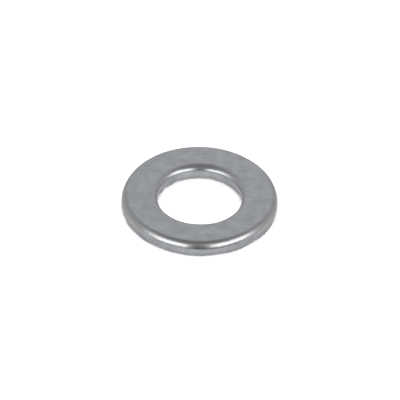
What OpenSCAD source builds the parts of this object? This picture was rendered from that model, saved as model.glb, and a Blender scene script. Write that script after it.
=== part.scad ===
// Flat washer: a round plate ring, punched from strip in one stroke.
//
// The press rolls the upper edges over, shears a smooth upright band below them,
// and tears the rest of the wall, which leans a little out of the way.
// Lower face on z = 0, hole's axis on z. All sizes are in millimetres.

/* [Plate] */
// Outside diameter
outer_d = 24; // [18:0.5:60]
// Diameter of the bolt hole
bore_d = 13; // [4:0.5:18]
// Thickness of the plate
thickness = 2.4; // [1.8:0.1:6]

/* [Punched edges] */
// Radius rolled onto the outside edge of the upper face
outer_roll_r = 0.95; // [0.1:0.05:1.2]
// Radius rolled onto the hole's edge of the upper face
bore_roll_r = 1.05; // [0.1:0.05:1.2]
// Height of the torn band at the foot of both walls
tear_h = 0.6; // [0.2:0.05:1]
// How far the torn band leans away from the upright wall
tear_lean = 0.06; // [0.01:0.01:0.2]
// Bevel worn onto both edges of the lower face
foot_bevel = 0.1; // [0.02:0.01:0.15]

/* [Hidden] */
outer_r = outer_d / 2;
bore_r = bore_d / 2;
web_w = outer_r - bore_r;   // plate left between the hole and the outside
shear_min = 0.1;            // shortest upright band that a rolled edge may leave
roll_max = min(thickness - tear_h - shear_min, web_w / 2 - tear_lean);
steel = [0.62, 0.63, 0.64];
$fn = 128;

// The quarter of a circle that rounds a corner, above its centre and on the wall's side of it.
module rolled_corner(roll_r) {
    intersection() {
        circle(roll_r);
        translate([-roll_r, 0])
            square(roll_r);
    }
}

// Half of the plate's cross-section, from a wall at x = 0 to the middle of the web.
module punched_half(edge_r) {
    roll_r = min(edge_r, roll_max);
    polygon([
        [tear_lean + foot_bevel, 0],
        [web_w / 2, 0],
        [web_w / 2, thickness],
        [roll_r, thickness],
        [0, thickness - roll_r],
        [0, tear_h],
        [tear_lean, foot_bevel]
    ]);
    translate([roll_r, thickness - roll_r])
        rolled_corner(roll_r);
}

// The whole cross-section: the hole's half, and the outside half turned to face out.
module washer_section() {
    translate([bore_r, 0])
        punched_half(bore_roll_r);
    translate([outer_r, 0])
        mirror([1, 0])
            punched_half(outer_roll_r);
}

module flat_washer() {
    color(steel)
        rotate_extrude()
            washer_section();
}

flat_washer();
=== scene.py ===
"""The looks of a punched steel flat washer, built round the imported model.

One closed surface stands for the plain ring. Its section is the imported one, and into it go the
marks that the press and the tumbling barrel leave: rolled edges, drawn and torn walls, a worn
foot and small knocks. All lengths are in metres.
"""
import math

import bpy
import numpy as np
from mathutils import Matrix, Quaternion, Vector


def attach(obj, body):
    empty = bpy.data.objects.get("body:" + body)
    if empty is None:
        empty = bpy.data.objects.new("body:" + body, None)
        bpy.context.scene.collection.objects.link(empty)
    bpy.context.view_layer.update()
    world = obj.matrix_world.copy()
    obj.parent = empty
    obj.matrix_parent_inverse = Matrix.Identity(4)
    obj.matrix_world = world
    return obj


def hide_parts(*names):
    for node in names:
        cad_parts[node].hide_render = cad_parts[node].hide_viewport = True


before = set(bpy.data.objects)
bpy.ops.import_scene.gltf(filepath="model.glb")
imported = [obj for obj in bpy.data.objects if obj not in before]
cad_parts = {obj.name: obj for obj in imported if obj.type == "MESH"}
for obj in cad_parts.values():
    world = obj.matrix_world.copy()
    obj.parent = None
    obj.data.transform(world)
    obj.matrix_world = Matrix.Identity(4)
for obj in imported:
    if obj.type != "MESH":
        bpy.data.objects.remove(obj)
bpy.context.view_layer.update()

MM = 0.001
TURN = 2 * math.pi


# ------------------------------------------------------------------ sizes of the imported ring

def read_section(node):
    """The section's sizes, from the rings of points where its flats, walls and bevels meet."""
    mesh = node.data
    places = np.empty(len(mesh.vertices) * 3)
    mesh.vertices.foreach_get("co", places)
    x, y, z = places.reshape(-1, 3).T
    radius = np.hypot(x, y)
    same = 0.002 * MM
    outer, bore, top = radius.max(), radius.min(), z.max()
    upper_flat = radius[z > top - same]
    lower_flat = radius[z < same]
    outer_wall = z[radius > outer - same]
    return {
        "outer": outer,
        "bore": bore,
        "top": top,
        "outer_roll": outer - upper_flat.max(),
        "bore_roll": upper_flat.min() - bore,
        "tear": outer_wall.min(),
        "foot": outer - lower_flat.max(),
    }


SIZE = read_section(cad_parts["flat_washer"])

SEED = 24                  # of every random draw

# How the grid of the washer's surface is shared out.
AROUND = 1200
FACE_STEPS = 18
ROLL_STEPS = 10
DRAWN_STEPS = 6
DRAWN_CROWDING = 1.6       # the power that crowds the drawn band's stations under the rolled edge
TORN_STEPS = 7
FOOT_STEPS = 3
BASE_STEPS = 12
MAP_EDGE = 0.008           # the empty border of each strip of the map, as a share of it

# Rolled edges. The press drags them down, and the tumbling barrel wears them bright.
ROLL_TURN = math.radians(68)   # a rolled edge breaks onto the drawn band before it is upright
OUTER_DROP = 1.2           # how far a rolled edge falls, as a share of how far it reaches inwards
BORE_DROP = 0.78
ROLL_WAVER = 0.025         # share of a rolled radius
PUNCH_OFFSET = 0.07        # share that the outer roll gains on the side where the die sat tighter
TIGHT_SIDE = math.radians(-115)
WORN_FROM = math.radians(8)    # the turn at which the wear starts, and where it is complete
WORN_FULL = math.radians(44)

# Marks from 0 to 1 at the stations where one band gives way to the next.
WORN_AT_BREAK = 0.7        # at the last station of a rolled edge
BAND_START = 0.5           # at the first station of the drawn band and of the torn one
TORN_AT_BASE = 0.4

# Depths into the metal of the marks on the walls and the faces.
TORN_LEAN = 0.06 * MM      # how far the torn band leans back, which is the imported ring's own lean
LEAN_WAVER = 0.07 * MM
LEAN_CURVE = 0.7           # the power of its own length that the torn band leans back by
TORN_GRAIN = 0.022 * MM
DRAWN_LINES = 0.004 * MM
LINES_ON_ROLL = 0.12       # shares of that depth on the rolled edges and on the torn band
LINES_ON_TEAR = 0.5
FACE_SWELL = 0.006 * MM
KNOCK_DEPTH = 0.012 * MM

# The other sizes of those marks.
TEAR_WAVER = 0.09 * MM     # how far the line between drawn and torn metal wanders up and down
FOOT_WAVER = 0.45          # share of the foot bevel
PIT_PITCH = 0.3 * MM       # the shortest wave of the torn grain up the wall
SWELL_PITCH = 5 * MM       # the shortest wave of the swell across the face
KNOCKS = 70
KNOCK_WIDTH = 0.16 * MM
KNOCK_WIDTHS = (0.5, 1.8)  # the smallest and the largest, as shares of that width
KNOCK_DEPTHS = (0.2, 1.3)  # the same, as shares of the depth above

# Waves round the ring: the lowest and highest number in a turn, and how many waves are summed.
ROLL_WAVES = (2, 9, 8)
TEAR_WAVES = (3, 60, 24)
LEAN_WAVES = (4, 22, 12)
FOOT_WAVES = (9, 90, 24)
LINE_WAVES = (90, 290, 60)
PIT_WAVES = (30, 280, 90)
SWELL_WAVES = (1, 9, 20)

# Limits of what is made from those sums, whose spread is about 1.
LEAN_LIMITS = (-0.5, 1.8)
FOOT_LIMITS = (-1.6, 2.5)
DEPTH_LIMITS = (0, 3)
SWELL_LIMITS = (0, 2)


# ------------------------------------------------------------------ the washer's surface

def ripple(angle, rng, lowest, highest, waves):
    """A smooth random wave round the ring: a sum of cosines of whole orders, so it closes on itself.

    Its spread is about 1, and its orders lie between lowest and highest waves a turn.
    """
    orders = rng.integers(lowest, highest + 1, waves)
    phases = rng.uniform(0, TURN, waves)
    return np.cos(angle[:, None] * orders + phases).sum(1) * math.sqrt(2 / waves)


def grain(angle, place, pitch, rng, lowest, highest, waves):
    """A random field over angle and place: a sum of cosines that run off at random slants.

    Place is the height on a wall or the radius on a face. Round the ring each cosine has a whole
    order, and along place the shortest wave is one pitch.
    """
    field = np.zeros(place.shape)
    for _ in range(waves):
        order = rng.integers(lowest, highest + 1)
        slant = rng.uniform(-1, 1) * TURN / pitch
        field += np.cos(angle[:, None] * order + place * slant + rng.uniform(0, TURN))
    return field * math.sqrt(2 / waves)


def knocks(angle, radius, height, rng):
    """Small round dents from tumbling: at random places the depth is a bell curve of distance."""
    x = radius * np.cos(angle)[:, None]
    y = radius * np.sin(angle)[:, None]
    depth = np.zeros(radius.shape)
    for _ in range(KNOCKS):
        row = rng.integers(0, radius.shape[0])
        column = rng.integers(0, radius.shape[1])
        width = KNOCK_WIDTH * rng.uniform(*KNOCK_WIDTHS)
        away = ((x - x[row, column]) ** 2 + (y - y[row, column]) ** 2
                + (height - height[row, column]) ** 2)
        depth += KNOCK_DEPTH * rng.uniform(*KNOCK_DEPTHS) * np.exp(-away / width ** 2)
    return depth


def punched_wall(angle, roll_size, drop_share, uneven, rng):
    """One punched wall from the upper face to the base, as depth into the metal and height.

    The rolled edge is an arc that ends short of upright, stretched to its reach and to its drop.
    Below it an upright line is the drawn band, a curve that leans back by a power of its length
    is the torn band, and a quarter circle of the foot's size turns onto the base. The sizes of
    all four waver round the ring. Rows are angles.
    """
    tighter = uneven * np.cos(angle - TIGHT_SIDE)
    roll = roll_size * (1 + tighter + ROLL_WAVER * ripple(angle, rng, *ROLL_WAVES))
    tear = SIZE["tear"] + TEAR_WAVER * ripple(angle, rng, *TEAR_WAVES)
    lean = TORN_LEAN + LEAN_WAVER * np.clip(ripple(angle, rng, *LEAN_WAVES), *LEAN_LIMITS)
    uneven_foot = 1 + FOOT_WAVER * np.clip(ripple(angle, rng, *FOOT_WAVES), *FOOT_LIMITS)
    foot = (SIZE["foot"] - TORN_LEAN) * uneven_foot
    roll, tear, lean, foot = (size[:, None] for size in (roll, tear, lean, foot))
    drop = roll * drop_share
    shoulder = SIZE["top"] - drop

    turn = np.linspace(0, ROLL_TURN, ROLL_STEPS, endpoint=False)
    drawn = np.linspace(0, 1, DRAWN_STEPS, endpoint=False) ** DRAWN_CROWDING
    torn = np.linspace(0, 1, TORN_STEPS, endpoint=False)
    under = np.linspace(0, math.pi / 2, FOOT_STEPS + 1)
    fallen = (1 - np.cos(turn)) / (1 - math.cos(ROLL_TURN))
    depth = np.hstack([
        roll * (1 - np.sin(turn) / math.sin(ROLL_TURN)),
        roll * 0 * drawn,
        lean * torn ** LEAN_CURVE,
        lean + foot * (1 - np.cos(under)),
    ])
    height = np.hstack([
        SIZE["top"] - drop * fallen,
        shoulder + (tear - shoulder) * drawn,
        tear + (foot - tear) * torn,
        foot * (1 - np.sin(under)),
    ])
    return depth, height


def wall_marks():
    """How far each station of a wall is worn bright, drawn and torn, each from 0 to 1."""
    torn_start = ROLL_STEPS + DRAWN_STEPS
    stations = torn_start + TORN_STEPS + FOOT_STEPS + 1
    turn = np.linspace(0, ROLL_TURN, ROLL_STEPS, endpoint=False)
    worn, drawn, torn = np.zeros((3, stations))
    worn[:ROLL_STEPS] = np.clip((turn - WORN_FROM) / (WORN_FULL - WORN_FROM), 0, 1)
    worn[ROLL_STEPS - 1] = WORN_AT_BREAK
    drawn[ROLL_STEPS] = BAND_START
    drawn[ROLL_STEPS + 1:torn_start] = 1.0
    torn[torn_start] = BAND_START
    torn[torn_start + 1:] = 1.0
    torn[-1] = TORN_AT_BASE
    return np.stack([worn, drawn, torn])


def between(first, last, steps):
    """The points strictly between two rings of points, evenly spaced, with rows of angles."""
    share = np.linspace(0, 1, steps + 1)[1:-1]
    return first[:, None] + (last - first)[:, None] * share


def washer_surface():
    """The washer as a closed grid of angle and station, with the marks at each station.

    The section runs out along the upper face, down the outer wall, in along the base and up the
    hole's wall. Turned round the axis it gives the ring. Every mark then sinks the surface along
    its own normal, and none raises it.
    """
    rng = np.random.default_rng(SEED)
    angle = np.arange(AROUND) * TURN / AROUND
    out_depth, out_height = punched_wall(angle, SIZE["outer_roll"], OUTER_DROP, PUNCH_OFFSET, rng)
    in_depth, in_height = punched_wall(angle, SIZE["bore_roll"], BORE_DROP, 0, rng)
    out_radius = SIZE["outer"] - out_depth
    in_radius = (SIZE["bore"] + in_depth)[:, ::-1]
    in_height = in_height[:, ::-1]
    face = between(in_radius[:, -1], out_radius[:, 0], FACE_STEPS)
    base = between(out_radius[:, -1], in_radius[:, 0], BASE_STEPS)
    radius = np.hstack([face, out_radius, base, in_radius])
    height = np.hstack([face * 0 + SIZE["top"], out_height, base * 0, in_height])

    marks = wall_marks()
    plain_face = np.zeros((3, FACE_STEPS - 1))
    plain_base = np.zeros((3, BASE_STEPS - 1))
    worn, drawn, torn = np.hstack([plain_face, marks, plain_base, marks[:, ::-1]])

    along_r = np.roll(radius, -1, 1) - np.roll(radius, 1, 1)
    along_z = np.roll(height, -1, 1) - np.roll(height, 1, 1)
    length = np.hypot(along_r, along_z)
    lines = np.clip(ripple(angle, rng, *LINE_WAVES) + 1, *DEPTH_LIMITS)[:, None]
    pits = np.clip(grain(angle, height, PIT_PITCH, rng, *PIT_WAVES) + 1, *DEPTH_LIMITS)
    swell = np.clip(1 + grain(angle, radius, SWELL_PITCH, rng, *SWELL_WAVES) / 2, *SWELL_LIMITS)
    depth = (DRAWN_LINES * lines * (drawn + LINES_ON_ROLL * worn + LINES_ON_TEAR * torn)
             + TORN_GRAIN * pits * torn
             + FACE_SWELL * swell
             + knocks(angle, radius, height, rng))
    radius = radius + along_z / length * depth
    height = height - along_r / length * depth
    points = np.stack([radius * np.cos(angle)[:, None], radius * np.sin(angle)[:, None], height], -1)
    return points, {"worn": worn, "drawn": drawn, "torn": torn}


def strip_places(points):
    """Each face corner's place on a square map of two strips, each half a turn long.

    Within its strip, across is the angle, and up is the mean length run along the section so far.
    """
    rows, columns = points.shape[:2]
    half = rows // 2
    steps = np.linalg.norm(np.roll(points, -1, 1) - points, axis=-1).mean(0)
    run = np.concatenate([[0], np.cumsum(steps)]) / steps.sum()
    row, column = np.meshgrid(np.arange(rows), np.arange(columns), indexing="ij")
    across = ((row % half)[..., None] + [0, 0, 1, 1]) / half
    up = run[column[..., None] + [0, 1, 1, 0]]
    strip = (row // half)[..., None]
    free = 1 - 2 * MAP_EDGE
    return np.stack([MAP_EDGE + free * across, (strip + MAP_EDGE + free * up) / 2], -1)


def closed_mesh(name, points, marks):
    """A mesh from a grid that closes on itself both ways, with each mark as a point attribute."""
    rows, columns = points.shape[:2]
    index = np.arange(rows * columns).reshape(rows, columns)
    ahead = np.roll(index, -1, 0)
    faces = np.stack([index, np.roll(index, -1, 1), np.roll(ahead, -1, 1), ahead], -1).reshape(-1, 4)
    mesh = bpy.data.meshes.new(name)
    mesh.vertices.add(rows * columns)
    mesh.vertices.foreach_set("co", points.astype(np.float32).ravel())
    mesh.loops.add(faces.size)
    mesh.loops.foreach_set("vertex_index", faces.astype(np.int32).ravel())
    mesh.polygons.add(len(faces))
    mesh.polygons.foreach_set("loop_start", np.arange(len(faces), dtype=np.int32) * 4)
    mesh.update(calc_edges=True)
    mesh.polygons.foreach_set("use_smooth", np.ones(len(faces), bool))
    for mark, value in marks.items():
        layer = mesh.attributes.new(mark, "FLOAT", "POINT")
        spread = np.broadcast_to(value, (rows, columns))
        layer.data.foreach_set("value", spread.astype(np.float32).ravel())
    strips = mesh.uv_layers.new(name="OFBake")
    strips.data.foreach_set("uv", strip_places(points).astype(np.float32).ravel())
    mesh.validate()
    return mesh


# ------------------------------------------------------------------ shader maths

class Wire:
    """An output socket that takes part in sums: each operator adds a Math node to its tree."""

    def __init__(self, tree, socket=None):
        self.tree = tree
        self.socket = socket

    def node(self, kind, settings=None, sockets=None, output=0):
        """Adds a node: its settings come first, then the values or wires of its sockets."""
        made = self.tree.nodes.new(kind)
        for setting, value in (settings or {}).items():
            setattr(made, setting, value)
        for socket, value in (sockets or {}).items():
            if isinstance(value, Wire):
                self.tree.links.new(value.socket, made.inputs[socket])
            else:
                made.inputs[socket].default_value = value
        return Wire(self.tree, made.outputs[output]) if made.outputs else None

    def other(self, output):
        """Another output of the node that this wire leaves."""
        return Wire(self.tree, self.socket.node.outputs[output])

    def maths(self, operation, *terms):
        return self.node("ShaderNodeMath", {"operation": operation}, dict(enumerate(terms)))

    def __add__(self, other):
        return self.maths("ADD", self, other)

    def __radd__(self, other):
        return self.maths("ADD", other, self)

    def __sub__(self, other):
        return self.maths("SUBTRACT", self, other)

    def __rsub__(self, other):
        return self.maths("SUBTRACT", other, self)

    def __neg__(self):
        return self.maths("MULTIPLY", self, -1.0)

    def __abs__(self):
        return self.maths("ABSOLUTE", self)

    def __mul__(self, other):
        return self.maths("MULTIPLY", self, other)

    def __rmul__(self, other):
        return self.maths("MULTIPLY", other, self)

    def step(self, none, full):
        """0 at none and beyond it, 1 at full and beyond it, and a smooth rise between the two."""
        return self.node("ShaderNodeMapRange", {"interpolation_type": "SMOOTHSTEP"},
                         {0: self, 1: none, 2: full, 3: 0.0, 4: 1.0})

    def vector(self, operation, *terms):
        return self.node("ShaderNodeVectorMath", {"operation": operation}, dict(enumerate((self, *terms))))

    def noise(self, scale, detail=2.0, roughness=0.5):
        """Noise read at this place, less its middle value: scale is in waves a metre.

        On a place that is stretched already, scale is in waves a unit.
        """
        return self.node("ShaderNodeTexNoise", None,
                         {"Vector": self, "Scale": scale, "Detail": detail, "Roughness": roughness}) - 0.5

    def lines(self, turn, fine, coarse, detail=2.0):
        """Noise drawn out along X: fine waves across it, and coarse waves along it.

        The place is stretched first and turned after that. So the turn, in radians, only picks
        another sample of the noise, and the lines stay along X.
        """
        stretched = self.node("ShaderNodeMapping", None,
                              {"Vector": self, "Rotation": (0, 0, turn), "Scale": (coarse, fine, fine)})
        return stretched.noise(1.0, detail)

    def blend(self, first, last):
        """A colour that goes from first to last as this goes from 0 to 1."""
        return self.node("ShaderNodeMix", {"data_type": "RGBA"}, {0: self, 6: first, 7: last}, output=2)


def new_tree(holder):
    """Empties the nodes of a material or a world, and gives the wire that its new ones start from."""
    holder.use_nodes = True
    holder.node_tree.nodes.clear()
    return Wire(holder.node_tree)


# ------------------------------------------------------------------ finishes

DULL_STEEL = (0.365, 0.376, 0.395, 1.0)
CLEAN_STEEL = (0.553, 0.571, 0.595, 1.0)
WORN_STEEL = (0.76, 0.77, 0.78, 1.0)
WALL_DULLING_AND_SHADE = 0.29       # how far the drawn and torn bands go from clean towards dull: partly their duller sheared metal, partly painted shade for the shaded board next to the washer that they mirror
RELIEF = 0.012 * MM        # the bump's depth, where its pattern runs from 0 to 1

# The roughness of the faces, and what each mark adds to it.
FACE_ROUGHNESS = 0.40
WORN_ROUGHNESS = -0.19
DRAWN_ROUGHNESS = -0.10
TORN_ROUGHNESS = 0.06

# Waves a metre of the steel's patterns. Only those of the draw lines round the wall are counted
# on a circle of radius 1, whatever the wall's own radius is.
CLOUDS = 420.0
SPECKLE = 5200.0
RAGGED = 3200.0
SMUDGES = 380.0
DRAW_LINES_ROUND = 90.0
DRAW_LINES_UP = 420.0

# Lines along the strip: the turn that picks their sample, and the waves a metre across and along.
STRIP_GRAIN = (0.45, 6500.0, 260.0)
STREAKS = (0.03, 2100.0, 480.0)

# Sets of scuffs: the turn that picks each sample, and the waves a metre of the patches it is in.
SCUFFS = ((0.2, 700.0), (1.15, 900.0), (2.3, 800.0))
SCUFF_WAVES = (4200.0, 420.0)

# Where smudges and scuffs start in their noise, and where they are full.
SMUDGE_EDGE = (0.08, 0.24)
SMUDGE_BREAKS = (-0.15, 0.10)
SCUFF_LINE = (0.012, 0.0)
SCUFF_PATCH = (0.02, 0.12)


def punched_steel():
    """Steel as it leaves the press and the tumbling barrel.

    The faces keep the strip's dull grain with smudges and scuffs, the rolled edges are worn bright,
    the drawn band has upright lines, and the torn band below is grey and granular. Both walls are
    also painted darker, partly for their duller metal and partly as painted shade. In the sums for
    shade, roughness and relief, each number is how strongly its pattern shows.
    """
    material = bpy.data.materials.new("punched_steel")
    start = new_tree(material)
    place = start.node("ShaderNodeTexCoord", output="Object")
    worn, drawn, torn = (start.node("ShaderNodeAttribute", {"attribute_name": mark}, output="Fac")
                         for mark in ("worn", "drawn", "torn"))
    walls = drawn + torn
    flats = 1 - (walls + worn).step(0.0, 1.0)

    # The direction out from the axis stays the same up a wall, so its noise makes upright lines.
    outward = place.vector("MULTIPLY", (1.0, 1.0, 0.0)).vector("NORMALIZE")
    climb = place.vector("MULTIPLY", (0.0, 0.0, DRAW_LINES_UP))
    round_wall = outward.vector("MULTIPLY", (DRAW_LINES_ROUND, DRAW_LINES_ROUND, 0.0))
    draw_lines = round_wall.vector("ADD", climb).noise(1.0, detail=3.0, roughness=0.6)

    strip_grain = place.lines(*STRIP_GRAIN, detail=3.0)
    streaks = place.lines(*STREAKS, detail=3.0)
    clouds = place.noise(CLOUDS, detail=3.0)
    speckle = place.noise(SPECKLE, detail=3.0, roughness=0.6)
    ragged = place.noise(RAGGED)
    smudges = (place.noise(SMUDGES, roughness=0.6).step(*SMUDGE_EDGE)
               * speckle.step(*SMUDGE_BREAKS))
    scuffs = sum(abs(place.lines(turn, *SCUFF_WAVES, detail=0.0)).step(*SCUFF_LINE)
                 * place.noise(patch, detail=1.0).step(*SCUFF_PATCH)
                 for turn, patch in SCUFFS)

    # The walls' darkening is partly painted shade: beyond their duller metal, it stands in for the shaded
    # board beside the washer that the walls mirror.
    shade = (0.5 - WALL_DULLING_AND_SHADE * walls + 1.2 * clouds + 0.8 * speckle + 0.9 * draw_lines * walls
             + (streaks + 0.35 * strip_grain - 0.5 * smudges) * flats)
    colour = worn.blend(shade.blend(DULL_STEEL, CLEAN_STEEL), WORN_STEEL)
    roughness = (FACE_ROUGHNESS + WORN_ROUGHNESS * worn + DRAWN_ROUGHNESS * drawn
                 + TORN_ROUGHNESS * torn + 0.16 * speckle
                 + (0.10 * strip_grain - 0.08 * scuffs) * flats)
    relief = (speckle * (0.35 - 0.2 * worn + 1.2 * torn) + draw_lines * (0.15 * worn + 0.8 * walls)
              + 1.5 * ragged * worn + (0.5 * strip_grain - 0.5 * scuffs) * flats)
    bump = start.node("ShaderNodeBump", None, {"Strength": 1.0, "Distance": RELIEF, "Height": relief})
    shader = start.node("ShaderNodeBsdfPrincipled", None,
                        {"Base Color": colour, "Metallic": 1.0, "Roughness": roughness, "Normal": bump})
    start.node("ShaderNodeOutputMaterial", None, {"Surface": shader})
    return material


BOARD_CLOUDS = 30.0        # waves a metre
GREYER_BOARD = (0.88, 0.88, 0.88, 1.0)
WHITER_BOARD = (0.90, 0.90, 0.90, 1.0)


def pale_board():
    """Matt white board, with the faintest clouding."""
    material = bpy.data.materials.new("pale_board")
    start = new_tree(material)
    place = start.node("ShaderNodeTexCoord", output="Object")
    paper = (0.5 + place.noise(BOARD_CLOUDS)).blend(GREYER_BOARD, WHITER_BOARD)
    shader = start.node("ShaderNodeBsdfPrincipled", None, {"Base Color": paper, "Roughness": 0.9})
    start.node("ShaderNodeOutputMaterial", None, {"Surface": shader})
    return material


# ------------------------------------------------------------------ the pieces

def add_washer():
    """The finished washer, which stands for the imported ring."""
    points, marks = washer_surface()
    washer = bpy.data.objects.new("punched_washer", closed_mesh("punched_washer", points, marks))
    bpy.context.scene.collection.objects.link(washer)
    washer.data.materials.append(punched_steel())
    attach(washer, "root")
    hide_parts("flat_washer")


def add_floor():
    """A wide flat board that the washer lies on.

    It is lit past white, and the steel mirrors the room's own lower half in its place.
    """
    half = 3.0
    mesh = bpy.data.meshes.new("floor")
    mesh.from_pydata([(-half, -half, 0), (half, -half, 0), (half, half, 0), (-half, half, 0)], [],
                     [(0, 1, 2, 3)])
    floor = bpy.data.objects.new("floor", mesh)
    bpy.context.scene.collection.objects.link(floor)
    mesh.materials.append(pale_board())
    floor.visible_glossy = False


# ------------------------------------------------------------------ light and camera

# How bright each part of the room is, beside a white of 1.
OVERHEAD = 0.25
SIDES = 0.47
PANEL = 0.50               # what the panel behind adds
FRONT = 0.13               # the wall behind the camera
FRONT_UPPER = 0.23
BOARD = 1.0                # the board as the steel mirrors it
BOARD_FRONT = 1.25
WINDOW = 1.6               # what each soft window adds

TOP_LIGHT = 2.4            # how strong the light over the board is

# The room's soft edges, each a pair: where a part starts, and where it is full. Fronts and rears
# are measured by how far back a direction points, the panel's sides by how far aside, and all
# the others by how high, each on a sphere of radius 1.
FRONT_EDGE = (-0.30, -0.65)
REAR_EDGE = (0.05, 0.60)
PANEL_TOP = (0.97, 0.80)
PANEL_FOOT = (0.05, 0.34)
PANEL_SIDES = (0.80, 0.10)
CEILING_EDGE = (0.66, 0.95)
CEILING_REAR = (0.35, 0.05)
FRONT_UPPER_EDGE = (0.15, 0.45)
BOARD_EDGE = (-0.14, -0.42)
BOARD_REAR_FADE = (-0.62, -0.40)   # at the rear the board is whole below the first, gone above the other

LEFT_WINDOW = {"near": (-9, -19), "far": (-82, -48), "low": (-0.04, 0.06), "high": (0.60, 0.44)}
RIGHT_WINDOW = {"near": (10, 23), "far": (90, 56), "low": (0.00, 0.12), "high": (0.66, 0.50)}


def soft_window(heading, rise, near, far, low, high):
    """1 inside a window of directions and 0 outside: the product of its four soft edges.

    Each edge is a pair, where the light starts and where it is full. near and far are headings in
    degrees from the front towards the right, and low and high are heights on the unit sphere.
    """
    return heading.step(*near) * heading.step(*far) * rise.step(*low) * rise.step(*high)


def add_room():
    """A grey room with a soft window low down on either side of the front.

    The brightness is a function of direction: its X is aside, its Y is back and its Z is rise. A
    dim ceiling turns into paler sides as rise falls and towards the rear, a soft panel fades in
    behind, and the front wall is the darkest. Below the horizon is the board, which starts lower
    down at the rear.
    """
    world = bpy.data.worlds.new("room")
    bpy.context.scene.world = world
    start = new_tree(world)
    way = start.node("ShaderNodeTexCoord", output="Generated")
    aside = way.node("ShaderNodeSeparateXYZ", None, {0: way})
    back = aside.other("Y")
    rise = aside.other("Z")
    heading = aside.maths("ARCTAN2", aside, -back) * math.degrees(1)

    front = back.step(*FRONT_EDGE)
    rear = back.step(*REAR_EDGE)
    panel = (rear * rise.step(*PANEL_TOP) * rise.step(*PANEL_FOOT)
             * abs(aside).step(*PANEL_SIDES))
    dim = rise.step(*CEILING_EDGE) * back.step(*CEILING_REAR)
    walls = SIDES + (OVERHEAD - SIDES) * dim + PANEL * panel
    front_wall = FRONT + (FRONT_UPPER - FRONT) * rise.step(*FRONT_UPPER_EDGE)
    room = walls * (1 - front) + front_wall * front
    board = BOARD + (BOARD_FRONT - BOARD) * front
    below = rise.step(*BOARD_EDGE) * (1 - rear * rise.step(*BOARD_REAR_FADE))
    left = soft_window(heading, rise, **LEFT_WINDOW)
    right = soft_window(heading, rise, **RIGHT_WINDOW)
    glow = room * (1 - below) + board * below + WINDOW * (left + right)
    shader = start.node("ShaderNodeBackground", None, {"Strength": glow})
    start.node("ShaderNodeOutputWorld", None, {"Surface": shader})


def add_top_light():
    """A wide soft light overhead that only brightens the board: the steel doesn't mirror it."""
    side = 1.6
    light = bpy.data.lights.new("top_light", "AREA")
    light.shape = "SQUARE"
    light.size = side
    light.energy = TOP_LIGHT * math.pi * side ** 2
    holder = bpy.data.objects.new("top_light", light)
    bpy.context.scene.collection.objects.link(holder)
    holder.location = (0, 0, side / 2)
    holder.visible_glossy = False


def add_camera():
    """A long lens from the front and above, turned a little about its own axis."""
    elevation = math.radians(40.15)
    distance = 2.5
    roll = math.radians(1.29)
    view_width = 61.57 * MM
    shift_right = 0.07 * MM
    camera = bpy.data.cameras.new("camera")
    camera.sensor_width = 36.0
    camera.lens = camera.sensor_width * distance / view_width
    camera.clip_start = 0.01
    camera.clip_end = 10.0
    holder = bpy.data.objects.new("camera", camera)
    bpy.context.scene.collection.objects.link(holder)
    away = Vector((0, -math.cos(elevation), math.sin(elevation)))
    facing = (-away).to_track_quat("-Z", "Y") @ Quaternion((0, 0, 1), roll)
    aim = Vector((0, 0, SIZE["top"] / 2)) + facing @ Vector((shift_right, 0, 0))
    holder.rotation_mode = "QUATERNION"
    holder.rotation_quaternion = facing
    holder.location = aim + away * distance
    bpy.context.scene.camera = holder


add_washer()
add_floor()
add_room()
add_top_light()
add_camera()
bpy.context.scene.view_settings.view_transform = "Standard"
